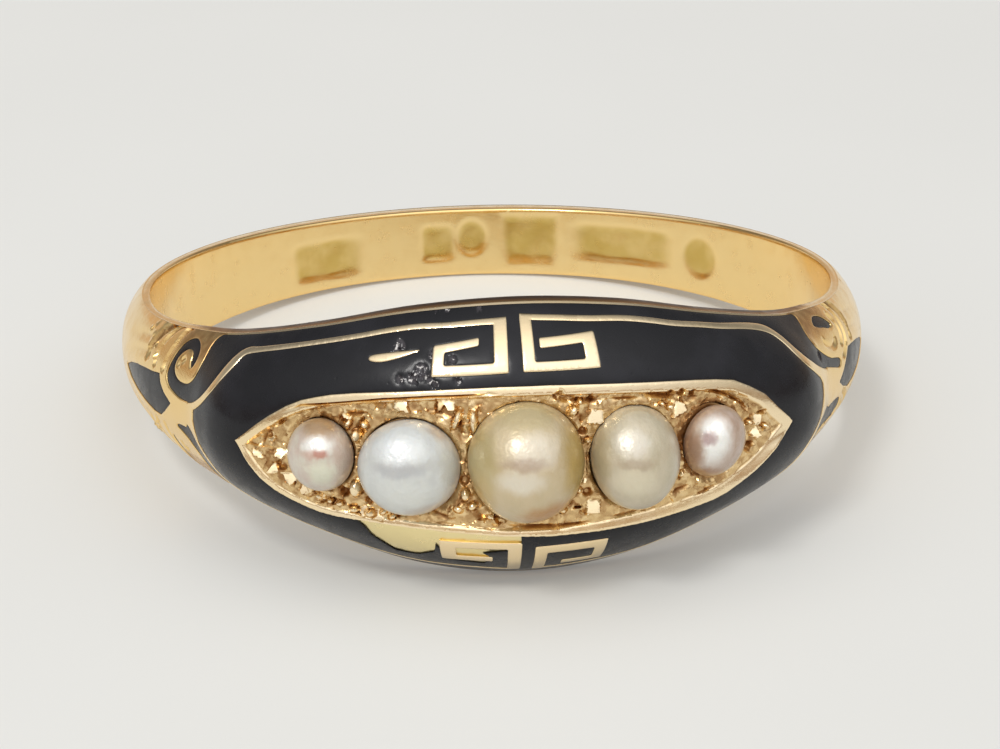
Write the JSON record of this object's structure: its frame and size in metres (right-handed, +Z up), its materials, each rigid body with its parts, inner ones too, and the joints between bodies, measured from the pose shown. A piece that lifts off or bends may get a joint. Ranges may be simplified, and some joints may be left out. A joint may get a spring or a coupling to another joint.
{
  "type": "enamel and pearl ring",
  "caption": "Gold finger ring with a boat-shaped head: half pearls in a pointed rim between black enamel fields with Greek keys, on a plain tapering band.",
  "frame": {"origin": "on the surface the ring lies on, below the middle of its box", "axes": "+Z up, +X to the right along the row of pearls, +Y from the head at the front to the back of the band; the bore leans 7.7 degrees from +Z towards +Y, because the head is wider than the band"},
  "size_m": [0.0188, 0.0214, 0.0065],
  "materials": {
    "gold": "worn polish with fine scratches, darker in the recesses",
    "black_enamel": "glossy, softly worn, with pits",
    "rosy_pearl": "nacre, pinkish silver",
    "white_pearl": "nacre, cool white",
    "cream_pearl": "nacre, cream",
    "grey_pearl": "nacre, greyish cream"
  },
  "bodies": {
    "root": {"gold_ring": "gold", "head_enamel": "black_enamel", "left_shoulder_enamel": "black_enamel", "right_shoulder_enamel": "black_enamel", "pearl_1": "rosy_pearl", "pearl_2": "white_pearl", "pearl_3": "cream_pearl", "pearl_4": "grey_pearl", "pearl_5": "rosy_pearl"}
  },
  "joints": []
}
